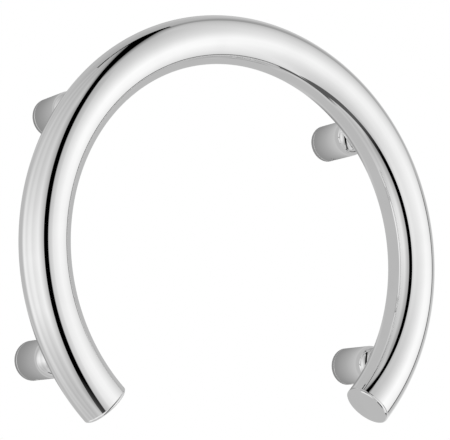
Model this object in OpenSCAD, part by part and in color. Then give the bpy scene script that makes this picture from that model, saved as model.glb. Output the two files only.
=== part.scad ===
/* [Ring rail] */
// Radius of the ring, from its centre to the middle of the tube
ring_r = 140; // [120:5:180]
// Outside diameter of the rail tube
tube_d = 31.75; // [28:0.25:40]
// Wall thickness of the rail tube
tube_wall = 1.5; // [1.2:0.1:2.5]
// Angle left open at the bottom of the ring
opening_deg = 90; // [60:5:100]
// Clear gap between the rail and the wall
wall_gap = 38.1; // [35:0.1:50]

/* [End caps] */
// Thickness of the cap that shows past the tube
cap_t = 2; // [1.5:0.5:4]
// Length of the plug that goes into the tube
cap_plug_l = 6; // [4:0.5:7]

/* [Posts] */
// Diameter of each post
post_d = 25.4; // [25:0.1:27]
// Wall thickness of the post around its bush
post_wall = 1.5; // [1.2:0.1:1.8]
// Distance from the wall to where the post starts to round in
dome_start = 28; // [25:0.5:30]
// Radius of the post's domed end
dome_r = 9.5; // [8:0.5:9.5]
// Diameter of the welded neck between the dome and the rail
neck_d = 12; // [8:0.5:14]
// Upper posts, degrees down from the top of the ring
upper_post_deg = 51; // [40:1:65]
// Lower posts, degrees down from the top of the ring
lower_post_deg = 119.5; // [100:0.5:120]

/* [Wall plates] */
// Thickness of the plate that shows between the post and the wall
plate_t = 3; // [2.5:0.1:4]
// Diameter of the spigot that the post slides over
spigot_d = 18; // [17.6:0.1:18.4]
// Length of the spigot past the plate
spigot_l = 18; // [14:0.5:20]
// Distance from the wall to the set screw
set_screw_y = 10; // [9:0.5:12]
// Diameter of the hole for the wall screw
screw_hole_d = 6; // [5.5:0.1:6.5]

/* [Hidden] */
$fn = 96;

// Which side of the ring a piece is on
LEFT = -1;
RIGHT = 1;

// Rail and caps
tube_r = tube_d / 2;
rail_y = wall_gap + tube_r;
cap_deg = asin(cap_t / ring_r);
arc_start = opening_deg / 2 - 90 + cap_deg;
arc_end = 270 - opening_deg / 2 - cap_deg;
cap_edge = 0.6;
plug_clear = 0.3;
ring_fn = 240;

// Posts, their domed ends and the bushes pressed into them
post_r = post_d / 2;
bush_r = post_r - post_wall;
spigot_r = spigot_d / 2;
socket_r = spigot_r + 0.05;
bush_l = spigot_l + 2;
bore_end = plate_t + bush_l + 1;
neck_r = neck_d / 2;
dome_centre_r = post_r - dome_r;
dome_deg = acos((neck_r - dome_centre_r) / dome_r);
dome_steps = 12;
seam_edge = 0.3;
lead_in = 0.5;

// Wall plates and gaskets
gasket_t = 1;
gasket_r = 10.4;
gasket_hole_r = 3.5;
recess_r = gasket_r + 0.1;
seat_t = 5.5;
screw_hole_r = screw_hole_d / 2;
sink_r = 5.5;
head_bore_r = 5.8;

// Set screws
set_r = 2.5;
set_l = 5;
set_hole_r = set_r + 0.05;
set_top = post_r - 0.4;
set_tip = set_top - set_l;
set_cone_r = 2.1;
set_edge = 0.3;
set_key_af = 2.5;
set_key_l = 2;
groove_r = set_tip - 0.1;

// Stands a ring drawn in the XY plane upright in front of the wall
module upright() translate([0, -rail_y, 0]) rotate([90, 0, 0]) children();

// Puts a piece drawn along +Z on a post's axis, with its base at the wall
module on_post(deg, side)
    translate([side * ring_r * sin(deg), 0, ring_r * cos(deg)]) rotate([90, 0, 0]) children();

// Turns a piece drawn along +Z so that it points straight down from a post's axis
module below_axis() translate([0, 0, set_screw_y]) rotate([90, 0, 0]) children();

// Bent tube, open at both ends
module rail_tube() {
    color("gainsboro") upright() rotate([0, 0, arc_start])
        rotate_extrude(angle = arc_end - arc_start, $fn = ring_fn) translate([ring_r, 0]) difference() {
            circle(r = tube_r);
            circle(r = tube_r - tube_wall);
        }
}

// Flat disc that closes the tube, with a short plug behind it
module end_cap(side) {
    end_deg = side == RIGHT ? arc_start : arc_end;
    plug_r = tube_r - tube_wall - plug_clear;
    profile = [
        [0, -cap_plug_l],
        [plug_r - lead_in, -cap_plug_l],
        [plug_r, lead_in - cap_plug_l],
        [plug_r, 0],
        [tube_r, 0],
        [tube_r, cap_t - cap_edge],
        [tube_r - cap_edge, cap_t],
        [0, cap_t]
    ];
    color("gainsboro") upright() rotate([0, 0, end_deg]) translate([ring_r, 0, 0])
        rotate([side * 90, 0, 0]) rotate_extrude() polygon(profile);
}

// Round post with a bore for its bush and a domed end on a neck, welded to the back of the rail
module post(deg, side) {
    dome = [for (i = [0 : dome_steps])
        let (a = dome_deg * i / dome_steps)
            [dome_centre_r + dome_r * cos(a), dome_start + dome_r * sin(a)]
    ];
    profile = concat([
        [0, rail_y],
        [0, bore_end],
        [bush_r, bore_end],
        [bush_r, plate_t],
        [post_r - seam_edge, plate_t],
        [post_r, plate_t + seam_edge]
    ], dome, [[neck_r, rail_y]]);
    color("silver") difference() {
        on_post(deg, side) difference() {
            rotate_extrude() polygon(profile);
            below_axis() cylinder(r = set_hole_r, h = post_r + 1);
        }
        upright() rotate_extrude($fn = ring_fn) translate([ring_r, 0]) circle(r = tube_r);
    }
}

// Thick ring pressed into the wall end of the post, threaded for the set screw
module post_bush(deg, side) {
    profile = [
        [socket_r, plate_t + bush_l],
        [socket_r, plate_t + lead_in],
        [socket_r + lead_in, plate_t],
        [bush_r, plate_t],
        [bush_r, plate_t + bush_l]
    ];
    color("darkkhaki") on_post(deg, side) difference() {
        rotate_extrude() polygon(profile);
        below_axis() cylinder(r = set_hole_r, h = post_r);
    }
}

// Round plate with a hollow spigot, grooved for the set screw and countersunk for the wall screw
module wall_plate(deg, side) {
    groove_w = spigot_r - groove_r;
    profile = [
        [recess_r, 0],
        [post_r, 0],
        [post_r, plate_t - seam_edge],
        [post_r - seam_edge, plate_t],
        [spigot_r, plate_t],
        [spigot_r, set_screw_y - groove_w],
        [groove_r, set_screw_y],
        [spigot_r, set_screw_y + groove_w],
        [spigot_r, plate_t + spigot_l - lead_in],
        [spigot_r - lead_in, plate_t + spigot_l],
        [head_bore_r, plate_t + spigot_l],
        [head_bore_r, seat_t],
        [sink_r, seat_t],
        [screw_hole_r, seat_t + screw_hole_r - sink_r],
        [screw_hole_r, gasket_t],
        [recess_r, gasket_t]
    ];
    color("lightgray") on_post(deg, side) rotate_extrude() polygon(profile);
}

// Flat seal in the back of the wall plate
module gasket(deg, side) {
    color("dimgray") on_post(deg, side) difference() {
        cylinder(r = gasket_r, h = gasket_t);
        translate([0, 0, -1]) cylinder(r = gasket_hole_r, h = gasket_t + 2);
    }
}

// Cone-point set screw under the post, its tip in the spigot's groove
module set_screw(deg, side) {
    profile = [
        [0, set_tip],
        [set_cone_r, set_tip + set_cone_r],
        [set_r, set_tip + set_cone_r],
        [set_r, set_top - set_edge],
        [set_r - set_edge, set_top],
        [0, set_top]
    ];
    color("slategray") on_post(deg, side) below_axis() difference() {
        rotate_extrude($fn = 48) polygon(profile);
        translate([0, 0, set_top - set_key_l])
            cylinder(r = set_key_af / 2 / cos(30), h = set_key_l + 1, $fn = 6);
    }
}

rail_tube();
end_cap(LEFT);  // end_cap_left
end_cap(RIGHT);  // end_cap_right
post(upper_post_deg, LEFT);  // post_upper_left
post(upper_post_deg, RIGHT);  // post_upper_right
post(lower_post_deg, LEFT);  // post_lower_left
post(lower_post_deg, RIGHT);  // post_lower_right
post_bush(upper_post_deg, LEFT);  // post_bush_upper_left
post_bush(upper_post_deg, RIGHT);  // post_bush_upper_right
post_bush(lower_post_deg, LEFT);  // post_bush_lower_left
post_bush(lower_post_deg, RIGHT);  // post_bush_lower_right
wall_plate(upper_post_deg, LEFT);  // wall_plate_upper_left
wall_plate(upper_post_deg, RIGHT);  // wall_plate_upper_right
wall_plate(lower_post_deg, LEFT);  // wall_plate_lower_left
wall_plate(lower_post_deg, RIGHT);  // wall_plate_lower_right
gasket(upper_post_deg, LEFT);  // gasket_upper_left
gasket(upper_post_deg, RIGHT);  // gasket_upper_right
gasket(lower_post_deg, LEFT);  // gasket_lower_left
gasket(lower_post_deg, RIGHT);  // gasket_lower_right
set_screw(upper_post_deg, LEFT);  // set_screw_upper_left
set_screw(upper_post_deg, RIGHT);  // set_screw_upper_right
set_screw(lower_post_deg, LEFT);  // set_screw_lower_left
set_screw(lower_post_deg, RIGHT);  // set_screw_lower_right
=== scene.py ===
import math

import bmesh
import bpy
from mathutils import Matrix, Vector


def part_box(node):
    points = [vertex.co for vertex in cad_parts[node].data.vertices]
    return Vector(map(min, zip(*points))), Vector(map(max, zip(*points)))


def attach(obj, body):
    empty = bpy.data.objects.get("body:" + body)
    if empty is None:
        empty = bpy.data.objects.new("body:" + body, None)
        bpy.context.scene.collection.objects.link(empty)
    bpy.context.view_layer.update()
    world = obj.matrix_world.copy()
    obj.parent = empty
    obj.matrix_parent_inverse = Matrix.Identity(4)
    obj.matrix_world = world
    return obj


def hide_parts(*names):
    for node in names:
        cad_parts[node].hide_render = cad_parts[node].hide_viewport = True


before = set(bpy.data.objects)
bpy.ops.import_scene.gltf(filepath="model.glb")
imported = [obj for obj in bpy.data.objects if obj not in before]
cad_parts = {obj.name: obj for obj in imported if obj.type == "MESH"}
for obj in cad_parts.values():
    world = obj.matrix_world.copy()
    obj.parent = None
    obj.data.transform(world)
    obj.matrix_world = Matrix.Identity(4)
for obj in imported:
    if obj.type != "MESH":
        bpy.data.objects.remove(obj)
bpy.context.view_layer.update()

mm = 0.001
print("frame loaded with", len(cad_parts), "nodes")

# Sizes and places that every piece shares, read from the frame
railLow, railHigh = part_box("rail_tube")
tubeRadius = round((railHigh.y - railLow.y) / 2, 6)
railAway = round(-(railHigh.y + railLow.y) / 2, 6)          # wall to the middle of the tube
ringRadius = round(railHigh.x - tubeRadius, 5)
postNames = ["upper_left", "upper_right", "lower_left", "lower_right"]


def postCentre(name):
    # where a post's axis meets the wall, as x and z
    low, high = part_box("gasket_" + name)
    return round((low.x + high.x) / 2, 6), round((low.z + high.z) / 2, 6)


# Camera
viewpoint = {
    "turn": -32.041,             # degrees to the side, 0 looks straight at the wall
    "rise": -7.495,              # degrees above level, so this looks slightly up
    "tilt": -0.907,              # degrees of roll
    "distance": 1.23394,         # metres from the ring's centre
    "aside": -0.009005,          # metres sideways
    "lift": 0.021072,            # metres up
    "lens": 152.46,
}


def addCamera(view):
    turn, rise, tilt = (math.radians(view[k]) for k in ("turn", "rise", "tilt"))
    back = Vector((math.sin(turn) * math.cos(rise), -math.cos(turn) * math.cos(rise), math.sin(rise)))
    right = (-back).cross(Vector((0, 0, 1))).normalized()
    up = right.cross(-back)
    leanRight = math.cos(tilt) * right + math.sin(tilt) * up
    leanUp = math.cos(tilt) * up - math.sin(tilt) * right
    data = bpy.data.cameras.new("camera")
    data.lens = view["lens"]
    camera = bpy.data.objects.new("camera", data)
    bpy.context.scene.collection.objects.link(camera)
    place = Vector((0, -railAway, 0)) + back * view["distance"]
    place += leanRight * view["aside"] + leanUp * view["lift"]
    turned = Matrix((leanRight, leanUp, back)).transposed().to_4x4()
    camera.matrix_world = Matrix.Translation(place) @ turned
    bpy.context.scene.camera = camera


addCamera(viewpoint)
bpy.context.scene.view_settings.view_transform = "Standard"
print("camera set")


# Helpers that build node trees
def makeTree(kind, name, inputs, outputs):
    # inputs and outputs are (name, kind of socket, start value) rows; a start value may be left out
    tree = bpy.data.node_groups.new(name, kind)
    for way, rows in (("INPUT", inputs), ("OUTPUT", outputs)):
        for label, socketType, *start in rows:
            socket = tree.interface.new_socket(name=label, in_out=way, socket_type="NodeSocket" + socketType)
            if start:
                socket.default_value = start[0]
    return tree, tree.nodes.new("NodeGroupInput"), tree.nodes.new("NodeGroupOutput")


def addNode(tree, kind, values=None, **settings):
    # values fills input sockets by name or number: a socket is linked, anything else is a fixed value
    node = tree.nodes.new(kind)
    for key, value in settings.items():
        setattr(node, key, value)
    for key, value in (values or {}).items():
        if isinstance(value, bpy.types.NodeSocket):
            tree.links.new(value, node.inputs[key])
        else:
            node.inputs[key].default_value = value
    return node


def calc(tree, operation, *values, clamp=False):
    node = addNode(tree, "ShaderNodeMath", dict(enumerate(values)), operation=operation)
    node.use_clamp = clamp
    return node.outputs[0]


def tidyNodes(tree):
    # lays the nodes out in columns, so that the tree can be read in the editor
    for count, node in enumerate(tree.nodes):
        node.location = (220 * (count // 4), -260 * (count % 4))


def giveOut(tree, result, values):
    # links what a tree gives out, by name, and lays its nodes out
    for name, socket in values.items():
        tree.links.new(socket, result.inputs[name])
    tidyNodes(tree)


def startMaterial(name):
    material = bpy.data.materials.new(name)
    material.use_nodes = True
    return material, material.node_tree, material.node_tree.nodes["Principled BSDF"]


def between(tree, value, ends):
    # 0 up to the first end and 1 past the second
    return addNode(tree, "ShaderNodeMapRange", {0: value, 1: ends[0], 2: ends[1]}).outputs[0]


def linear(shade):
    # a grey as it looks on screen, from 0 to 1, as light
    return ((shade + 0.055) / 1.055) ** 2.4 if shade > 0.04 else shade / 12.92


def grey(level):
    return (level, level, level, 1)


def shadeRamp(tree, place, stops):
    # a ramp of greys; stops are (place from 0 to 1, grey as light) pairs
    node = addNode(tree, "ShaderNodeValToRGB", {0: place})
    elements = node.color_ramp.elements
    while len(elements) > 1:
        elements.remove(elements[-1])
    elements[0].position = stops[0][0]
    elements[0].color = grey(stops[0][1])
    for spot, level in stops[1:]:
        elements.new(spot).color = grey(level)
    return node.outputs[0]


def blend(tree, share, first, second, way="MIX"):
    # a colour mixed from two others
    values = {0: share, 6: first, 7: second}
    return addNode(tree, "ShaderNodeMix", values, data_type="RGBA", blend_type=way).outputs[2]


# Studio: a tent of light, and cards that only the chrome sees
studio = {
    # degrees round from straight ahead of the wall, and how bright the tent looks there
    "walls": [(-180, 0.88), (-142, 0.88), (-130, 0.95), (-114, 0.89), (-102, 0.94), (-92, 0.95), (-82, 0.90),
              (-72, 0.92), (-54, 0.97), (-30, 0.93), (-6, 0.90), (12, 0.93), (28, 0.97), (40, 1.0),
              (58, 0.99), (72, 0.96), (84, 0.92), (90, 0.90), (95, 0.74), (112, 0.78), (128, 0.90),
              (180, 0.88)],
    # degrees above level, and how much of the walls' light is left there
    "heights": [(-90, 0.72), (-70, 0.74), (-50, 0.79), (-30, 0.89), (-18, 0.96), (0, 0.98), (10, 0.91),
                (20, 0.82), (30, 0.74), (45, 0.66), (60, 0.58), (75, 0.53), (90, 0.51)],
    # how far in front of the wall's own plane, and how much of the light a dark seam there holds back
    "seam": [(-0.055, 0), (-0.045, 0.84), (0.075, 0.84), (0.085, 0)],
    "seamFrom": -0.30,           # the seam fades in on the right of here
    "seamTo": 0.36,              # and out above here
    "seamFade": 0.12,
    "lowLeft": 0.35,             # share of the light that is missing low down on the left
    "leftSteep": 1.3,            # how fast that grows to the left
    "lowSteep": 1.7,             # and downwards
    "lowStart": 0.5,             # how much of the downward growth is held back first
    "mirror": 0.95,              # share of light that the chrome gives back, which the tent makes up for
}


def lightStudio(tent):
    # soft tent of light, brightest in front and to the right
    world = bpy.data.worlds.new("studio")
    world.use_nodes = True
    bpy.context.scene.world = world
    tree = world.node_tree
    tree.nodes.clear()
    way = addNode(tree, "ShaderNodeTexCoord").outputs["Generated"]
    split = addNode(tree, "ShaderNodeSeparateXYZ", {0: way})
    x, y, z = split.outputs
    bearing = calc(tree, "ARCTAN2", x, calc(tree, "MULTIPLY", y, -1.0))
    across = calc(tree, "MULTIPLY_ADD", bearing, 0.5 / math.pi, 0.5)
    high = calc(tree, "MULTIPLY_ADD", calc(tree, "ARCSINE", z), 1 / math.pi, 0.5)
    walls = shadeRamp(tree, across, [(0.5 + a / 360, linear(s) / tent["mirror"]) for a, s in tent["walls"]])
    heights = shadeRamp(tree, high, [(0.5 + a / 180, share) for a, share in tent["heights"]])
    light = blend(tree, 1.0, walls, heights, "MULTIPLY")
    ahead = calc(tree, "MULTIPLY_ADD", y, -1.0, 0.5)
    seam = shadeRamp(tree, ahead, [(0.5 + place, held) for place, held in tent["seam"]])
    rightOf = calc(tree, "DIVIDE", calc(tree, "SUBTRACT", x, tent["seamFrom"]), tent["seamFade"], clamp=True)
    below = calc(tree, "DIVIDE", calc(tree, "SUBTRACT", tent["seamTo"], z), tent["seamFade"], clamp=True)
    held = calc(tree, "MULTIPLY", calc(tree, "MULTIPLY", rightOf, below), seam)
    leftward = calc(tree, "MULTIPLY", x, -tent["leftSteep"], clamp=True)
    downward = calc(tree, "MULTIPLY_ADD", z, -tent["lowSteep"], -tent["lowStart"], clamp=True)
    shaded = calc(tree, "MULTIPLY", calc(tree, "MULTIPLY", leftward, downward), tent["lowLeft"])
    left = calc(tree, "SUBTRACT", 1.0, calc(tree, "MAXIMUM", held, shaded))
    light = blend(tree, 1.0, light, left, "MULTIPLY")
    seen = addNode(tree, "ShaderNodeLightPath").outputs["Is Camera Ray"]
    background = addNode(tree, "ShaderNodeBackground", {0: blend(tree, seen, light, (1, 1, 1, 1))})
    addNode(tree, "ShaderNodeOutputWorld", {0: background.outputs[0]})
    tidyNodes(tree)


def stageSheet(name, corners, material):
    # flat cards side by side, from pairs of corners in order, seen only in reflections
    mesh = bpy.data.meshes.new(name)
    mesh.from_pydata(corners, [], [(k, k + 1, k + 3, k + 2) for k in range(0, len(corners) - 2, 2)])
    mesh.materials.append(material)
    card = bpy.data.objects.new(name, mesh)
    bpy.context.scene.collection.objects.link(card)
    card.visible_camera = False
    card.visible_shadow = False
    card.visible_diffuse = False
    return card


flag = {
    # middle of the dark strip: overhead, down one side of the tent, then back underneath
    "path": [(0.0, 0.05, 1.0), (-0.353, -0.63, 1.0), (-0.353, -0.63, -0.75), (0.06, -0.12, -0.75)],
    "half": 0.258,               # half its width, with its soft edges
    # share of the way across, the edges being -1 and 1, and how much light is held back there
    "overhead": [(-1, 0), (-0.7, 0.18), (-0.43, 0.58), (-0.39, 1), (0.38, 1), (0.42, 0.58), (0.7, 0.22),
                 (1, 0)],
    "upright": [(-1, 0), (-0.43, 0), (-0.39, 1), (0.38, 1), (0.42, 0), (1, 0)],
    "overheadFrom": 0.85,        # height where the upright part's profile gives way to the overhead one
    "profileFade": 0.1,
    "footShade": 0.35,           # grey of its lowest part
    "footFrom": -0.42,
    "footFade": 0.26,
    "bar": [(-0.35, 0.09), (0.12, -0.01)],     # ends of the bar across its overhead end
    "barDepth": 0.08,
}
softFlag = {
    "middle": (-0.28, -0.385),   # where the sheet stands, on plan
    "out": (-0.588, -0.81),      # the way it faces
    "low": -0.6,
    "high": 0.62,
    "fade": 0.15,                # metres over which its top and bottom fade
    # metres to the right of its middle, and how much light is held back there
    "held": [(-0.21, 0), (-0.13, 0.18), (-0.07, 0.36), (0, 0.46), (0.05, 0.55), (0.085, 0.40), (0.12, 0.2),
             (0.17, 0.17), (0.23, 0.1), (0.27, 0)],
}


def cardMaterial(name, shape):
    # shape is given the tree and the position on the card
    # and gives back how much the card hides there, and how brightly it glows
    material = bpy.data.materials.new(name)
    material.use_nodes = True
    tree = material.node_tree
    tree.nodes.clear()
    position = addNode(tree, "ShaderNodeTexCoord").outputs["Object"]
    held, glow = shape(tree, position)
    clear = addNode(tree, "ShaderNodeBsdfTransparent")
    own = addNode(tree, "ShaderNodeEmission", {"Color": (1, 1, 1, 1), "Strength": glow})
    mixed = addNode(tree, "ShaderNodeMixShader", {0: held, 1: clear.outputs[0], 2: own.outputs[0]})
    addNode(tree, "ShaderNodeOutputMaterial", {0: mixed.outputs[0]})
    tidyNodes(tree)
    return material


def placeOnCard(tree, position):
    # how far across a strip, and how high
    across = addNode(tree, "ShaderNodeAttribute", attribute_name="across").outputs["Fac"]
    return across, addNode(tree, "ShaderNodeSeparateXYZ", {0: position}).outputs[2]


def profile(tree, across, stops, left, right):
    # a ramp across a card from its left edge to its right one
    share = calc(tree, "DIVIDE", calc(tree, "SUBTRACT", across, left), right - left)
    return shadeRamp(tree, share, [((place - left) / (right - left), held) for place, held in stops])


def fadeAbove(tree, height, start, length):
    return calc(tree, "DIVIDE", calc(tree, "SUBTRACT", height, start), length, clamp=True)


def hangStrip(name, path, side, edges, material):
    # upright or level card that follows a path, and knows how far across it each place is
    corners = []
    for middle in path:
        corners += [Vector(middle) + side * edges[0], Vector(middle) + side * edges[1]]
    card = stageSheet(name, corners, material)
    across = card.data.attributes.new("across", "FLOAT", "POINT")
    across.data.foreach_set("value", list(edges) * len(path))


def hangFlag(cut):
    # dark strip that runs up one side of the tent, overhead and underneath, and draws the black line
    def shape(tree, position):
        across, height = placeOnCard(tree, position)
        overhead = profile(tree, across, cut["overhead"], -1, 1)
        upright = profile(tree, across, cut["upright"], -1, 1)
        part = fadeAbove(tree, height, cut["overheadFrom"], cut["profileFade"])
        above = fadeAbove(tree, height, cut["footFrom"] - cut["footFade"], cut["footFade"])
        under = calc(tree, "SUBTRACT", 1.0, above)
        glow = calc(tree, "MULTIPLY", under, linear(cut["footShade"]))
        return blend(tree, part, upright, overhead), glow

    out = Vector(cut["path"][1][:2]).normalized()
    side = Vector((-out.y, out.x, 0)) * cut["half"]
    hangStrip("black_flag", cut["path"], side, (-1.0, 1.0), cardMaterial("blackFlag", shape))

    plain, tree, skin = startMaterial("blackBar")
    skin.inputs["Base Color"].default_value = (0, 0, 0, 1)
    skin.inputs["Specular IOR Level"].default_value = 0.0
    roof = cut["path"][0][2]
    corners = [(x, y + back, roof) for back in (0, cut["barDepth"]) for x, y in cut["bar"]]
    stageSheet("black_bar", corners, plain)


def hangSoftFlag(cut):
    # thin grey sheet nearer the ring that softens both sides of the black line
    left, right = cut["held"][0][0], cut["held"][-1][0]

    def shape(tree, position):
        across, height = placeOnCard(tree, position)
        held = profile(tree, across, cut["held"], left, right)
        low = fadeAbove(tree, height, cut["low"], cut["fade"])
        high = calc(tree, "SUBTRACT", 1.0, fadeAbove(tree, height, cut["high"] - cut["fade"], cut["fade"]))
        return calc(tree, "MULTIPLY", calc(tree, "MULTIPLY", low, high), held), 0.0

    out = Vector(cut["out"]).normalized()
    path = [(*cut["middle"], height) for height in (cut["low"], cut["high"])]
    hangStrip("soft_flag", path, Vector((-out.y, out.x, 0)), (left, right), cardMaterial("softFlag", shape))


backing = {
    "reach": 0.24,               # half the side of the sheet behind the ring
    "edge": 0.19,                # where the grey gives way to the tent, from the middle
    "fade": 0.02,
    # millimetres from a post's axis, and how grey the sheet glows there, painted shade being darker near
    # each post
    "posts": [(12, 0.52), (18, 0.58), (26, 0.67), (34, 0.76), (50, 0.72)],
    "behind": 1.0 * mm,          # gap between the wall plates' backs and the sheet
}


def hangBacking(sheet):
    # grey sheet behind the ring that glows, with painted shade that makes it a little darker round each
    # post, and that hides nothing from behind
    def shape(tree, position):
        nearest = None
        for name in postNames:
            x, z = postCentre(name)
            gap = addNode(tree, "ShaderNodeVectorMath", {0: position, 1: (x, sheet["behind"], z)},
                          operation="DISTANCE").outputs["Value"]
            nearest = gap if nearest is None else calc(tree, "MINIMUM", nearest, gap)
        furthest = sheet["posts"][-1][0]
        # painted shade: the glow dims near each post, where the posts would shade the wall
        glowWithPaintedShade = shadeRamp(tree, calc(tree, "DIVIDE", nearest, furthest * mm),
                           [(far / furthest, linear(shade)) for far, shade in sheet["posts"]])
        out = addNode(tree, "ShaderNodeVectorMath", {0: position}, operation="LENGTH").outputs["Value"]
        past = calc(tree, "DIVIDE", calc(tree, "SUBTRACT", out, sheet["edge"]), sheet["fade"], clamp=True)
        behind = addNode(tree, "ShaderNodeNewGeometry").outputs["Backfacing"]
        held = calc(tree, "SUBTRACT", 1.0, calc(tree, "MAXIMUM", past, behind))
        return held, calc(tree, "DIVIDE", glowWithPaintedShade, studio["mirror"])

    reach = sheet["reach"]
    corners = [(x, sheet["behind"], z) for z in (-reach, reach) for x in (-reach, reach)]
    stageSheet("grey_backing", corners, cardMaterial("greyBackingPaintedShade", shape))


floorPlan = {
    "drop": 1.2,                 # from the ring's centre down to the floor
    "half": 6.0,                 # half its side
    "grey": 0.86,
    "roughness": 0.7,
}


def layFloor(plan):
    material, tree, skin = startMaterial("paleFloor")
    skin.inputs["Base Color"].default_value = grey(plan["grey"])
    skin.inputs["Roughness"].default_value = plan["roughness"]
    half = plan["half"]
    corners = [(x, y, -plan["drop"]) for y in (-half, half) for x in (-half, half)]
    floor = stageSheet("floor", corners, material)
    floor.visible_camera = True
    floor.visible_glossy = False
    floor.visible_diffuse = True


lightStudio(studio)
hangFlag(flag)
hangSoftFlag(softFlag)
hangBacking(backing)
layFloor(floorPlan)
print("studio lit")


# Effects that several finishes share
buffing = {
    "smears": (0.45, 0.75),      # the noise that leaves no smear, and that leaves a full one
    "streaks": (0.4, 0.8),
    "streakShare": 0.4,          # how much a streak roughens, next to a smear
    "clean": 0.955,              # how much light comes back where there is no smear
    "dull": 0.925,               # and where there is one
}


def makePolishMarks(worn):
    # fine lines left by the last buffing wheel, and faint smears on top of them
    rows = [("Place", "Vector"), ("Along", "Float", 6.0), ("Across", "Float", 900.0),
            ("Smear Size", "Float", 30.0), ("Roughness", "Float", 0.03), ("Smear", "Float", 0.03)]
    made = [("Roughness", "Float"), ("Height", "Float"), ("Tint", "Color")]
    tree, given, result = makeTree("ShaderNodeTree", "polishMarks", rows, made)
    stretch = addNode(tree, "ShaderNodeCombineXYZ",
                      {0: given.outputs["Along"], 1: given.outputs["Across"], 2: given.outputs["Across"]})
    lined = addNode(tree, "ShaderNodeVectorMath", {0: given.outputs["Place"], 1: stretch.outputs[0]},
                    operation="MULTIPLY")
    lines = addNode(tree, "ShaderNodeTexNoise", {"Vector": lined.outputs[0], "Scale": 1.0, "Detail": 3.0})
    smears = addNode(tree, "ShaderNodeTexNoise",
                     {"Vector": given.outputs["Place"], "Scale": given.outputs["Smear Size"], "Detail": 5.0,
                      "Roughness": 0.6, "Distortion": 0.6})
    patch = between(tree, smears.outputs[0], worn["smears"])
    streak = between(tree, lines.outputs[0], worn["streaks"])
    marks = calc(tree, "MULTIPLY_ADD", streak, worn["streakShare"], patch)
    rough = calc(tree, "MULTIPLY_ADD", marks, given.outputs["Smear"], given.outputs["Roughness"])
    tint = blend(tree, patch, grey(worn["clean"]), grey(worn["dull"]))
    giveOut(tree, result, {"Roughness": rough, "Height": lines.outputs[0], "Tint": tint})
    return tree


latheMarks = {
    "wander": 0.35,              # how fast the passes change from one to the next
    "toneSpread": 0.14,          # share of the grey that changes from pass to pass
    "roughSpread": 0.12,
    "rimFade": 0.2 * mm,         # width over which the passes give way to the polished rim
}


def makeTurnedLines(tool):
    # rings left by a lathe tool round an axis, and a polished rim outside them
    rows = [("Place", "Vector"), ("Spacing", "Float", 0.12 * mm), ("Waver", "Float", 0.6),
            ("Grey", "Float", 0.6), ("Roughness", "Float", 0.25), ("Rim From", "Float", 1.0),
            ("Rim Grey", "Float", 0.95), ("Rim Roughness", "Float", 0.0)]
    made = [("Tint", "Color"), ("Roughness", "Float"), ("Height", "Float")]
    tree, given, result = makeTree("ShaderNodeTree", "turnedLines", rows, made)
    split = addNode(tree, "ShaderNodeSeparateXYZ", {0: given.outputs["Place"]})
    out = calc(tree, "SQRT", calc(tree, "ADD", calc(tree, "POWER", split.outputs[1], 2.0),
                                  calc(tree, "POWER", split.outputs[2], 2.0)))
    steps = calc(tree, "DIVIDE", calc(tree, "ADD", out, split.outputs[0]), given.outputs["Spacing"])
    uneven = addNode(tree, "ShaderNodeTexNoise", {"W": steps, "Scale": tool["wander"], "Detail": 2.0},
                     noise_dimensions="1D").outputs[0]
    wave = calc(tree, "SINE", calc(tree, "MULTIPLY", steps, 2 * math.pi))
    height = calc(tree, "MULTIPLY_ADD", uneven, given.outputs["Waver"], wave)
    tone = calc(tree, "MULTIPLY_ADD", uneven, tool["toneSpread"], 1 - tool["toneSpread"])
    level = calc(tree, "MULTIPLY", given.outputs["Grey"], tone)
    spread = calc(tree, "MULTIPLY_ADD", uneven, tool["roughSpread"], -tool["roughSpread"] / 2)
    rough = calc(tree, "ADD", given.outputs["Roughness"], spread)
    past = calc(tree, "SUBTRACT", out, given.outputs["Rim From"])
    rim = calc(tree, "DIVIDE", past, tool["rimFade"], clamp=True)
    rough = addNode(tree, "ShaderNodeMix", {0: rim, 2: rough, 3: given.outputs["Rim Roughness"]}).outputs[0]
    level = addNode(tree, "ShaderNodeMix", {0: rim, 2: level, 3: given.outputs["Rim Grey"]}).outputs[0]
    height = calc(tree, "MULTIPLY", height, calc(tree, "SUBTRACT", 1.0, rim))
    giveOut(tree, result, {"Roughness": rough, "Height": height, "Tint": level})
    return tree


polishMarks = makePolishMarks(buffing)
turnedLines = makeTurnedLines(latheMarks)


# Finishes
def laidOut(tree):
    # the place on a piece as if it were straight, along its length first
    return addNode(tree, "ShaderNodeAttribute", attribute_name="straight").outputs["Vector"]


def useGroup(tree, group, values):
    return addNode(tree, "ShaderNodeGroup", values, node_tree=group)


def raiseBump(tree, skin, height, strength, distance):
    bump = addNode(tree, "ShaderNodeBump", {"Height": height, "Strength": strength, "Distance": distance})
    tree.links.new(bump.outputs[0], skin.inputs["Normal"])


def coatMetal(tree, skin, marks, look):
    # feeds a group's marks to a bare metal
    skin.inputs["Metallic"].default_value = 1.0
    tree.links.new(marks.outputs["Tint"], skin.inputs["Base Color"])
    tree.links.new(marks.outputs["Roughness"], skin.inputs["Roughness"])
    raiseBump(tree, skin, marks.outputs["Height"], look["lineStrength"], look["lineDepth"])
    tidyNodes(tree)


chromeLook = {
    "along": 5.0,                # buffing streaks per metre along the tube
    "across": 700.0,             # and round it
    "roughness": 0.0,
    "smear": 0.02,
    "smearSize": 28.0,
    "lineDepth": 0.02 * mm,
    "lineStrength": 0.05,
}


def mirrorChrome(name, look):
    material, tree, skin = startMaterial(name)
    marks = useGroup(tree, polishMarks, {
        "Place": laidOut(tree), "Along": look["along"], "Across": look["across"],
        "Smear Size": look["smearSize"], "Roughness": look["roughness"], "Smear": look["smear"]})
    coatMetal(tree, skin, marks, look)
    return material


polishedChrome = mirrorChrome("polishedChrome", chromeLook)

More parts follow.
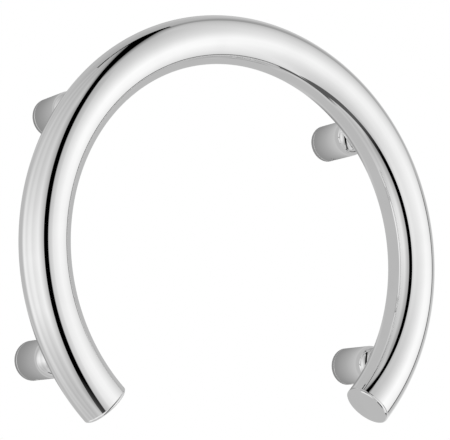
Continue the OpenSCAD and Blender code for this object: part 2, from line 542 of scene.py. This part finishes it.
turnedLook = {
    "spacing": 0.15 * mm,        # between two passes of the lathe tool
    "grey": 0.62,
    "roughness": 0.28,
    "lineDepth": 0.01 * mm,
    "lineStrength": 0.35,
}
plateLook = {
    "spacing": 0.12 * mm,
    "grey": 0.82,
    "roughness": 0.2,
    "lineDepth": 0.006 * mm,
    "lineStrength": 0.3,
    "rimFrom": 12.2 * mm,        # past this radius the plate is polished
}
screwLook = {
    "spacing": 0.1 * mm,
    "grey": 0.42,
    "roughness": 0.3,
    "lineDepth": 0.006 * mm,
    "lineStrength": 0.2,
}


def turnedMetal(name, look):
    material, tree, skin = startMaterial(name)
    values = {"Place": laidOut(tree), "Spacing": look["spacing"], "Grey": look["grey"],
              "Roughness": look["roughness"]}
    if "rimFrom" in look:
        values["Rim From"] = look["rimFrom"]
        values["Rim Roughness"] = chromeLook["roughness"]
    coatMetal(tree, skin, useGroup(tree, turnedLines, values), look)
    return material


turnedSteel = turnedMetal("turnedSteel", turnedLook)
plateChrome = turnedMetal("plateChrome", plateLook)
screwSteel = turnedMetal("screwSteel", screwLook)

rubberLook = {
    "dark": 0.018,               # grey of the rubber
    "pale": 0.035,               # and of its paler patches
    "roughness": 0.75,
    "roughSpread": 0.2,
    "grain": 2500.0,             # moulded grain per metre
    "grainStrength": 0.5,
    "grainDepth": 0.03 * mm,
    "bloomSize": 12,             # how many grains wide a pale patch is
}


def mouldedRubber(name, look):
    material, tree, skin = startMaterial(name)
    place = laidOut(tree)
    grain = addNode(tree, "ShaderNodeTexNoise", {"Vector": place, "Scale": look["grain"], "Detail": 3.0})
    patches = {"Vector": place, "Scale": look["grain"] / look["bloomSize"], "Detail": 4.0}
    bloom = addNode(tree, "ShaderNodeTexNoise", patches).outputs[0]
    tone = blend(tree, bloom, grey(look["dark"]), grey(look["pale"]))
    least = look["roughness"] - look["roughSpread"] / 2
    rough = calc(tree, "MULTIPLY_ADD", bloom, look["roughSpread"], least)
    tree.links.new(tone, skin.inputs["Base Color"])
    tree.links.new(rough, skin.inputs["Roughness"])
    raiseBump(tree, skin, grain.outputs[0], look["grainStrength"], look["grainDepth"])
    tidyNodes(tree)
    return material


gasketRubber = mouldedRubber("gasketRubber", rubberLook)
print("finishes mixed")


# Outlines, and the solids turned from them
def rounded(corners, steps=6, hold=0.12 * mm):
    # closed outline of (radius, distance from the wall) points; each corner row ends in its fillet radius
    points = []
    count = len(corners)
    for i, (r, d, fillet) in enumerate(corners):
        here = Vector((r, d))
        before = Vector(corners[i - 1][:2]) - here
        after = Vector(corners[(i + 1) % count][:2]) - here
        if not fillet:
            points.append(tuple(here))
            continue
        corner = before.angle(after)
        setback = fillet / math.tan(corner / 2)
        start = here + before.normalized() * setback
        end = here + after.normalized() * setback
        inward = (before.normalized() + after.normalized()).normalized()
        centre = here + inward * (fillet / math.sin(corner / 2))
        if before.length > setback + 2 * hold:
            points.append(tuple(start + before.normalized() * hold))
        first, last = (start - centre).normalized(), (end - centre).normalized()
        for k in range(steps + 1):
            points.append(tuple(centre + first.slerp(last, k / steps) * fillet))
        if after.length > setback + 2 * hold:
            points.append(tuple(end + after.normalized() * hold))
    return points


def revolve(outline, steps):
    # spins an outline round the X axis of a straight frame: (along, across, across)
    points, faces, rings = [], [], []
    for r, d in outline:
        if not r:
            rings.append([len(points)] * steps)
            points.append((d, 0, 0))
            continue
        rings.append([len(points) + k for k in range(steps)])
        for k in range(steps):
            a = 2 * math.pi * k / steps
            points.append((d, r * math.cos(a), r * math.sin(a)))
    for ring, nextRing in zip(rings, rings[1:] + rings[:1]):
        for k in range(steps):
            corners = [ring[k], ring[(k + 1) % steps], nextRing[(k + 1) % steps], nextRing[k]]
            corners = list(dict.fromkeys(corners))
            if len(corners) > 2:
                faces.append(corners)
    return points, faces


def outward(mesh):
    # makes every face of a closed mesh point outwards
    work = bmesh.new()
    work.from_mesh(mesh)
    bmesh.ops.remove_doubles(work, verts=work.verts, dist=1e-7)
    bmesh.ops.recalc_face_normals(work, faces=work.faces)
    work.to_mesh(mesh)
    work.free()


def solidPiece(name, points, faces, place, material):
    # points are in the piece's straight frame; place turns and moves them to where the piece is
    mesh = bpy.data.meshes.new(name)
    mesh.from_pydata(points, [], faces)
    straight = mesh.attributes.new("straight", "FLOAT_VECTOR", "POINT")
    straight.data.foreach_set("vector", [c for p in points for c in p])
    mesh.transform(place)
    outward(mesh)
    mesh.polygons.foreach_set("use_smooth", [True] * len(mesh.polygons))
    mesh.materials.append(material)
    piece = bpy.data.objects.new(name, mesh)
    bpy.context.scene.collection.objects.link(piece)
    return piece


def finished(piece, body, slot, *nodes):
    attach(piece, body)
    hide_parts(*nodes)
    print(" ", piece.name, "made with", len(piece.data.polygons), "faces")


# Rail
rail = {
    "opening": 90.0,             # degrees left open at the bottom, from face to face
    "capThickness": 2.0 * mm,
    "stepsAlong": 720,
    "stepsRound": 96,
}
capDegrees = math.degrees(math.asin(rail["capThickness"] / ringRadius))
railStart = rail["opening"] / 2 - 90 + capDegrees
railSweep = 360 - rail["opening"] - 2 * capDegrees


def giveMesh(tree, given, result, geometry):
    # how both geometry trees end: copies made real, with their finish on
    real = addNode(tree, "GeometryNodeRealizeInstances", {"Geometry": geometry})
    coated = addNode(tree, "GeometryNodeSetMaterial",
                     {"Geometry": real.outputs[0], "Material": given.outputs["Material"]})
    giveOut(tree, result, {"Mesh": coated.outputs[0]})


def makeRingSweep():
    # sweeps a circle along an arc and stands the ring up in front of the wall
    rows = [("Ring Radius", "Float", 0.14), ("Tube Radius", "Float", 0.016), ("Start", "Float", 0.0),
            ("Sweep", "Float", 4.7), ("Steps Along", "Int", 360), ("Steps Round", "Int", 96),
            ("Away", "Float", 0.05), ("Material", "Material")]
    tree, given, result = makeTree("GeometryNodeTree", "ringSweep", rows, [("Mesh", "Geometry")])
    arc = addNode(tree, "GeometryNodeCurveArc",
                  {"Resolution": given.outputs["Steps Along"], "Radius": given.outputs["Ring Radius"],
                   "Start Angle": given.outputs["Start"], "Sweep Angle": given.outputs["Sweep"]},
                  mode="RADIUS")
    along = addNode(tree, "GeometryNodeSplineParameter")
    keptAlong = tree.nodes.new("GeometryNodeCaptureAttribute")
    keptAlong.capture_items.new("FLOAT", "Along")
    tree.links.new(arc.outputs["Curve"], keptAlong.inputs["Geometry"])
    tree.links.new(along.outputs["Length"], keptAlong.inputs["Along"])
    circle = addNode(tree, "GeometryNodeCurvePrimitiveCircle",
                     {"Resolution": given.outputs["Steps Round"], "Radius": given.outputs["Tube Radius"]},
                     mode="RADIUS")
    keptRound = tree.nodes.new("GeometryNodeCaptureAttribute")
    keptRound.capture_items.new("VECTOR", "Round")
    place = addNode(tree, "GeometryNodeInputPosition")
    tree.links.new(circle.outputs["Curve"], keptRound.inputs["Geometry"])
    tree.links.new(place.outputs[0], keptRound.inputs["Round"])
    swept = addNode(tree, "GeometryNodeCurveToMesh",
                    {"Curve": keptAlong.outputs["Geometry"], "Profile Curve": keptRound.outputs["Geometry"],
                     "Fill Caps": True})
    split = addNode(tree, "ShaderNodeSeparateXYZ", {0: keptRound.outputs["Round"]})
    straight = addNode(tree, "ShaderNodeCombineXYZ",
                       {0: keptAlong.outputs["Along"], 1: split.outputs[0], 2: split.outputs[1]})
    stored = addNode(tree, "GeometryNodeStoreNamedAttribute",
                     {"Geometry": swept.outputs[0], "Name": "straight", "Value": straight.outputs[0]},
                     data_type="FLOAT_VECTOR", domain="POINT")
    back = addNode(tree, "ShaderNodeCombineXYZ", {1: calc(tree, "MULTIPLY", given.outputs["Away"], -1.0)})
    upright = addNode(tree, "GeometryNodeTransform",
                      {"Geometry": stored.outputs[0], "Translation": back.outputs[0],
                       "Rotation": (math.pi / 2, 0, 0)})
    smooth = addNode(tree, "GeometryNodeSetShadeSmooth", {"Geometry": upright.outputs[0]})
    giveMesh(tree, given, result, smooth.outputs[0])
    return tree


def growMesh(name, tree, values):
    # runs a tree on an empty mesh with its inputs set, and keeps the result as a plain mesh
    piece = bpy.data.objects.new(name, bpy.data.meshes.new(name + "Start"))
    bpy.context.scene.collection.objects.link(piece)
    grown = piece.modifiers.new("grown", "NODES")
    grown.node_group = tree
    for item in tree.interface.items_tree:
        if item.item_type == "SOCKET" and item.in_out == "INPUT" and item.name in values:
            grown[item.identifier] = values[item.name]
    bpy.context.view_layer.update()
    seen = piece.evaluated_get(bpy.context.evaluated_depsgraph_get())
    mesh = bpy.data.meshes.new_from_object(seen)
    piece.modifiers.remove(grown)
    piece.data = mesh
    mesh.name = name
    return piece


railPiece = growMesh("rail_tube_skin", makeRingSweep(), {
    "Ring Radius": ringRadius, "Tube Radius": tubeRadius, "Start": math.radians(railStart),
    "Sweep": math.radians(railSweep), "Steps Along": rail["stepsAlong"], "Steps Round": rail["stepsRound"],
    "Away": railAway, "Material": polishedChrome})
for face in railPiece.data.polygons:
    face.use_smooth = len(face.vertices) == 4
finished(railPiece, "rail", "polished_chrome", "rail_tube")
print("rail bent")


# End caps
endCap = {
    "bevel": 0.6 * mm,           # width of the bevel round the rim
    "soften": 0.12 * mm,         # rounding of the bevel's own edges
    "plugLength": 6.0 * mm,
    "plugRim": 0.4 * mm,
    "plugGap": 1.8 * mm,         # tube wall and clearance
    "steps": 96,
}


def makeEndCap(side, cap):
    plug = tubeRadius - cap["plugGap"]
    thick, bevel, soften = rail["capThickness"], cap["bevel"], cap["soften"]
    outline = rounded([
        (0, -cap["plugLength"], 0), (plug, -cap["plugLength"], cap["plugRim"]), (plug, 0, 0),
        (tubeRadius, 0, 0), (tubeRadius, thick - bevel, soften), (tubeRadius - bevel, thick, soften),
        (0, thick, 0)])
    points, faces = revolve(outline, cap["steps"])
    turn = math.radians(railStart if side == "right" else 180 - railStart)
    sign = -1 if side == "right" else 1
    # the cap's own length runs along the tube, away from its open end
    along = Vector((-math.sin(turn), 0, math.cos(turn))) * sign
    out = Vector((math.cos(turn), 0, math.sin(turn)))
    across = along.cross(out)
    place = Matrix((along, out, across)).transposed().to_4x4()
    place.translation = out * ringRadius - Vector((0, railAway, 0))
    piece = solidPiece("end_cap_" + side + "_face", points, faces, place, polishedChrome)
    finished(piece, "rail", "polished_chrome", "end_cap_" + side)


for side in ("left", "right"):
    makeEndCap(side, endCap)
print("end caps fitted")


# Posts and their bushes
post = {
    "radius": 12.7 * mm,
    "bore": 11.2 * mm,
    "start": 3.0 * mm,           # distance from the wall to the end that meets the plate
    "rim": 0.45 * mm,            # rounding of that end
    "domeStart": 28.0 * mm,      # distance from the wall to where the post starts to round in
    "dome": 9.5 * mm,            # radius of that rounding
    "neck": 6.0 * mm,            # narrowest radius of the weld between the dome and the rail
    "flare": 1.5 * mm,           # how much wider the weld is at its two ends
    "sunk": 0.05 * mm,           # how far the post's closed end reaches into the rail's wall
    "boreEnd": 24.0 * mm,
    "core": 0.5 * mm,            # radius of the hidden hole between the bore and the rail
    "hold": 0.15 * mm,           # gap from an edge to the next row of points
    "shaftSteps": 12,
    "domeSteps": 40,
    "weldSteps": 16,
    "columns": 192,
    "holeColumns": 12,           # columns that the drilled patch takes on each side of the set screw
}
bush = {
    "radius": 11.2 * mm,
    "bore": 9.05 * mm,
    "start": 3.0 * mm,
    "length": 20.0 * mm,
    "leadIn": 0.5 * mm,
    "rim": 0.3 * mm,
    "columns": 96,
    "holeColumns": 8,
}
screwHole = {
    "away": 10.0 * mm,           # from the wall
    "radius": 2.55 * mm,
    "rim": 0.25 * mm,            # rounding of its outer edge
    "reach": 5.0 * mm,           # half the length of the drilled patch
    "rings": 7,
}


def postPlace(name):
    # a post's straight frame: along it from the wall, then down, then to the right
    x, z = postCentre(name)
    place = Matrix(((0, -1, 0), (0, 0, -1), (1, 0, 0))).transposed().to_4x4()
    place.translation = (x, 0, z)
    return place


def addGrid(points, faces, rows, closed):
    # joins equal rows of points into faces; closed rows meet end to end
    first = len(points)
    wide = len(rows[0])
    for row in rows:
        points.extend(row)
    for j in range(len(rows) - 1):
        for k in range(wide if closed else wide - 1):
            a, b = first + j * wide + k, first + j * wide + (k + 1) % wide
            faces.append([a, b, b + wide, a + wide])


def onTube(radius, angle, along):
    return (along, radius * math.cos(angle), radius * math.sin(angle))


def drilledBand(points, faces, outer, inner, hole, columns, holeColumns):
    # the stretch of a tube that the set screw's hole goes through, the hole at angle 0
    step = 2 * math.pi / columns
    low, size = hole["away"] - hole["reach"], 2 * hole["reach"]
    lines = 2 * holeColumns
    alongs = [low + size * j / lines for j in range(lines + 1)]
    plain = range(holeColumns, columns - holeColumns + 1)
    square = [(k, 0) for k in range(-holeColumns, holeColumns)]
    square += [(holeColumns, j) for j in range(lines)]
    square += [(k, lines) for k in range(holeColumns, -holeColumns, -1)]
    square += [(-holeColumns, j) for j in range(lines, 0, -1)]
    compass = [math.atan2(alongs[j] - hole["away"], outer * k * step) for k, j in square]
    rims = {}
    for radius in (outer, inner):
        addGrid(points, faces, [[onTube(radius, k * step, d) for k in plain] for d in alongs], False)
        mouth = hole["radius"] + (hole["rim"] if radius == outer else 0)
        rings = []
        for t in range(hole["rings"] + 1):
            share = t / hole["rings"]
            ring = []
            for (k, j), way in zip(square, compass):
                angle = math.asin(mouth * math.cos(way) / radius) * (1 - share) + k * step * share
                along = (hole["away"] + mouth * math.sin(way)) * (1 - share) + alongs[j] * share
                ring.append(onTube(radius, angle, along))
            rings.append(ring)
        addGrid(points, faces, rings, True)
        rims[radius] = rings[0]
    sides = []
    for turn in range(0, 91, 15):
        bend = math.radians(turn)
        size = hole["radius"] + hole["rim"] * (1 - math.sin(bend))
        depth = hole["rim"] * (1 - math.cos(bend))
        across = [size * math.cos(way) for way in compass]
        sides.append([(hole["away"] + size * math.sin(way), math.sqrt(outer ** 2 - x ** 2) - depth, x)
                      for way, x in zip(compass, across)])
    sides[0] = rims[outer]
    addGrid(points, faces, sides + [rims[inner]], True)


def drilledTube(outer, inner, wallEnd, farEnd, columns, holeColumns):
    # wallEnd is an outline from the bore out; farEnd(angle) gives the outline back in at the other end
    points, faces = [], []
    angles = [2 * math.pi * k / columns for k in range(columns)]
    low, high = screwHole["away"] - screwHole["reach"], screwHole["away"] + screwHole["reach"]
    near = [(inner, low)] + wallEnd + [(outer, low)]
    addGrid(points, faces, [[onTube(r, a, d) for a in angles] for r, d in near], True)
    drilledBand(points, faces, outer, inner, screwHole, columns, holeColumns)
    far = [[(outer, high)] + farEnd(a) + [(inner, high)] for a in angles]
    rows = []
    for j in range(len(far[0])):
        rows.append([onTube(far[k][j][0], angles[k], far[k][j][1]) for k in range(columns)])
    addGrid(points, faces, rows, True)
    return points, faces


def quarter(r, d, size, start, steps=5):
    # a quarter circle of the given size round (r, d), from the start angle in degrees
    turns = [math.radians(start + 90 * k / steps) for k in range(steps + 1)]
    return [(r + size * math.cos(t), d + size * math.sin(t)) for t in turns]


def saddle(name, radius, angle):
    # distance from the wall to the rail's back at a place round a post
    x, z = postCentre(name)
    fromCentre = math.hypot(x + radius * math.sin(angle), z - radius * math.cos(angle))
    return railAway - math.sqrt(tubeRadius ** 2 - (fromCentre - ringRadius) ** 2)


def makePost(name):
    rim, start, dome = post["rim"], post["start"], post["dome"]
    outer, inner, hold = post["radius"], post["bore"], post["hold"]
    wallEnd = [(inner, start + hold), (inner, start), (inner + hold, start), (outer - rim - hold, start)]
    wallEnd += quarter(outer - rim, start + rim, rim, -90)
    wallEnd += [(outer, start + rim + hold)]
    low, high = screwHole["away"] + screwHole["reach"], post["domeStart"]
    wide = post["neck"] + post["flare"]
    domeCentre = outer - dome
    lastTurn = math.acos((wide - domeCentre) / dome)
    count = post["shaftSteps"]
    shaft = [(outer, low + (high - low) * k / count) for k in range(1, count)]
    turns = [lastTurn * k / post["domeSteps"] for k in range(post["domeSteps"] + 1)]
    shaft += [(domeCentre + dome * math.cos(t), high + dome * math.sin(t)) for t in turns]
    domeTop = shaft[-1][1]

    def farEnd(angle):
        # the dome, then a hollow weld that flares out to the rail's back
        railBack = saddle(name, wide, angle)
        waist = (post["neck"] - post["flare"], (domeTop + railBack) / 2)
        weld = []
        for k in range(1, post["weldSteps"] + 1):
            t = k / post["weldSteps"]
            weld.append(tuple(a * (1 - t) ** 2 + 2 * b * t * (1 - t) + c * t * t
                              for a, b, c in zip((wide, domeTop), waist, (wide, railBack))))
        closing = [(wide, railBack + post["sunk"]), (post["core"], saddle(name, 0, angle) + post["sunk"]),
                   (post["core"], post["boreEnd"]), (inner, post["boreEnd"])]
        return shaft + weld + closing

    points, faces = drilledTube(outer, inner, wallEnd, farEnd, post["columns"], post["holeColumns"])
    piece = solidPiece("post_" + name + "_tube", points, faces, postPlace(name), polishedChrome)
    finished(piece, "rail", "polished_chrome", "post_" + name)


def makeBush(name):
    outer, inner, rim, lead = bush["radius"], bush["bore"], bush["rim"], bush["leadIn"]
    start, end = bush["start"], bush["start"] + bush["length"]
    wallEnd = [(inner, start + lead), (inner + lead, start), (outer - rim, start), (outer, start + rim)]
    farEnd = [(outer, end - rim), (outer - rim, end), (inner + rim, end), (inner, end - rim)]
    points, faces = drilledTube(outer, inner, wallEnd, lambda angle: farEnd, bush["columns"],
                                bush["holeColumns"])
    piece = solidPiece("post_bush_" + name + "_turned", points, faces, postPlace(name), turnedSteel)
    finished(piece, "rail", "machined_steel", "post_bush_" + name)


for name in postNames:
    makePost(name)
    makeBush(name)
print("posts welded on")


# Pieces that repeat at each post
def makeSetInPlace():
    # puts a copy of a finished pattern piece at a place, turned as asked
    rows = [("Pattern", "Object"), ("Place", "Vector"), ("Turn", "Vector"), ("Material", "Material")]
    tree, given, result = makeTree("GeometryNodeTree", "setInPlace", rows, [("Mesh", "Geometry")])
    pattern = addNode(tree, "GeometryNodeObjectInfo", {"Object": given.outputs["Pattern"]})
    spot = addNode(tree, "GeometryNodePoints", {"Count": 1, "Position": given.outputs["Place"]})
    copies = addNode(tree, "GeometryNodeInstanceOnPoints",
                     {"Points": spot.outputs[0], "Instance": pattern.outputs["Geometry"],
                      "Rotation": given.outputs["Turn"]})
    giveMesh(tree, given, result, copies.outputs[0])
    return tree


setInPlace = makeSetInPlace()


def repeatPattern(pattern, prefix, suffix, place, turn, material, slot, bodyOf):
    # makes one piece at each post from a pattern piece, which is then thrown away
    for name in postNames:
        piece = growMesh(prefix + name + suffix, setInPlace, {
            "Pattern": pattern, "Place": place(name), "Turn": turn, "Material": material})
        finished(piece, bodyOf(name), slot, prefix + name)
    bpy.data.objects.remove(pattern)


def patternPiece(name, points, faces, material):
    return solidPiece(name, points, faces, Matrix.Identity(4), material)


def onWall(name):
    x, z = postCentre(name)
    return x, 0, z


# turns a pattern whose length runs along X so that it points straight out from the wall
outFromWall = (0, 0, -math.pi / 2)


# Wall plates
wallPlate = {
    "radius": 12.7 * mm,
    "thickness": 3.0 * mm,
    "rim": 0.45 * mm,
    "backRim": 0.3 * mm,
    "recess": 10.5 * mm,         # radius of the seat for the gasket
    "recessDepth": 1.0 * mm,
    "spigot": 9.0 * mm,
    "spigotEnd": 21.0 * mm,
    "groove": 1.8 * mm,          # depth of the groove that the set screw bites in
    "grooveAt": 10.0 * mm,
    "headBore": 5.8 * mm,
    "seat": 5.5 * mm,            # distance from the wall to the countersink's mouth
    "sink": 5.5 * mm,
    "hole": 3.0 * mm,
    "soft": 0.1 * mm,            # rounding of the edges that aren't handled
    "grooveSoft": 0.2 * mm,
    "spigotRim": 0.5 * mm,
    "boreRim": 0.3 * mm,
    "steps": 128,
}


def makeWallPlates(plate):
    thick, recess, recessDepth = plate["thickness"], plate["recess"], plate["recessDepth"]
    spigot, spigotEnd, headBore = plate["spigot"], plate["spigotEnd"], plate["headBore"]
    groove, grooveAt, grooveSoft = plate["groove"], plate["grooveAt"], plate["grooveSoft"]
    seat, sink, hole, soft = plate["seat"], plate["sink"], plate["hole"], plate["soft"]
    outline = rounded([
        (recess, 0, soft), (plate["radius"], 0, plate["backRim"]), (plate["radius"], thick, plate["rim"]),
        (spigot, thick, grooveSoft), (spigot, grooveAt - groove, 0), (spigot - groove, grooveAt, grooveSoft),
        (spigot, grooveAt + groove, 0), (spigot, spigotEnd, plate["spigotRim"]),
        (headBore, spigotEnd, plate["boreRim"]), (headBore, seat, 0), (sink, seat, 0),
        (hole, seat + hole - sink, soft), (hole, recessDepth, soft), (recess, recessDepth, soft)])
    points, faces = revolve(outline, plate["steps"])
    pattern = patternPiece("wallPlatePattern", points, faces, plateChrome)
    repeatPattern(pattern, "wall_plate_", "_turned", onWall, outFromWall, plateChrome, "plate_chrome",
                  lambda name: "rail")


# Gaskets
gasketSizes = {
    "radius": 10.4 * mm,
    "hole": 3.5 * mm,
    "thickness": 1.0 * mm,
    "edge": 0.2 * mm,
    "edgeSteps": 4,
    "steps": 96,
}


def makeGaskets(flat):
    edge, thick = flat["edge"], flat["thickness"]
    outline = rounded([(flat["hole"], 0, edge), (flat["radius"], 0, edge), (flat["radius"], thick, edge),
                       (flat["hole"], thick, edge)], steps=flat["edgeSteps"])
    points, faces = revolve(outline, flat["steps"])
    pattern = patternPiece("gasketPattern", points, faces, gasketRubber)
    repeatPattern(pattern, "gasket_", "_seal", onWall, outFromWall, gasketRubber, "gasket_rubber",
                  lambda name: "rail")


# Set screws
setScrew = {
    "top": 12.3 * mm,            # from the post's axis
    "length": 5.0 * mm,
    "radius": 2.5 * mm,
    "pitch": 0.8 * mm,
    "threadDepth": 0.4 * mm,
    "threadSteps": 10,           # rows of points in each turn of the thread
    "crest": 1.25,               # above 1, the tops of the thread are flat
    "runIn": 0.6,                # turns over which the thread grows at the pointed end
    "runOut": 0.4,               # and fades at the socket end
    "cone": 2.1 * mm,            # radius and height of the pointed end
    "coneEdge": 0.1 * mm,
    "point": 0.02 * mm,          # radius of the very tip
    "edge": 0.3 * mm,
    "faceRim": 0.15 * mm,
    "key": 2.5 * mm,             # across the flats of the key socket
    "keyDepth": 2.0 * mm,
    "keyEdge": 0.12 * mm,        # bevel at the socket's mouth
    "keyPoint": 0.5 * mm,        # depth of the drilled cone below the socket
    "columns": 48,
}


def makeSetScrews(screw):
    wide, pitch = screw["columns"], screw["pitch"]
    angles = [2 * math.pi * k / wide for k in range(wide)]
    tip = screw["top"] - screw["length"]
    threadStart, threadEnd = tip + screw["cone"], screw["top"] - screw["edge"]
    points, faces = [], []

    def thread(angle, along):
        # radius of the thread's flank, fading out at both ends
        place = (along / pitch - angle / (2 * math.pi)) % 1.0
        ridge = min(1.0, screw["crest"] * (1 - abs(2 * place - 1)))
        started = (along - threadStart) / (screw["runIn"] * pitch)
        fade = min(1.0, started, (threadEnd - along) / (screw["runOut"] * pitch))
        valley = screw["radius"] - screw["threadDepth"]
        return valley + screw["threadDepth"] * ridge * max(0.0, fade)

    rows = [[onTube(screw["point"], a, tip) for a in angles]]
    coneEdge = screw["coneEdge"]
    rows.append([onTube(screw["cone"] - coneEdge, a, threadStart - coneEdge) for a in angles])
    count = round((threadEnd - threadStart) / (pitch / screw["threadSteps"]))
    for j in range(count + 1):
        along = threadStart + (threadEnd - threadStart) * j / count
        rows.append([onTube(thread(a, along), a, along) for a in angles])
    faceEdge = screw["radius"] - screw["threadDepth"] - screw["faceRim"]
    rows.append([onTube(faceEdge, a, screw["top"]) for a in angles])

    def flats(angle):
        part = (math.degrees(angle) % 60) - 30
        return screw["key"] / 2 / math.cos(math.radians(part))

    keyEdge, bottom = screw["keyEdge"], screw["keyDepth"] + screw["keyPoint"]
    for wider, depth in ((keyEdge, 0), (0, keyEdge), (0, screw["keyDepth"])):
        rows.append([onTube(flats(a) + wider, a, screw["top"] - depth) for a in angles])
    rows.append([onTube(screw["point"] / 2, a, screw["top"] - bottom) for a in angles])
    addGrid(points, faces, rows, True)
    faces.append(list(range(wide)))
    faces.append([len(points) - wide + k for k in range(wide)])
    pattern = patternPiece("setScrewPattern", points, faces, screwSteel)

    def inHole(name):
        x, z = postCentre(name)
        return x, -screwHole["away"], z

    repeatPattern(pattern, "set_screw_", "_threaded", inHole, (0, math.pi / 2, 0), screwSteel, "screw_steel",
                  lambda name: name + "_screw")


makeWallPlates(wallPlate)
print("wall plates turned")
makeGaskets(gasketSizes)
print("gaskets cut")
makeSetScrews(setScrew)
print("set screws threaded")
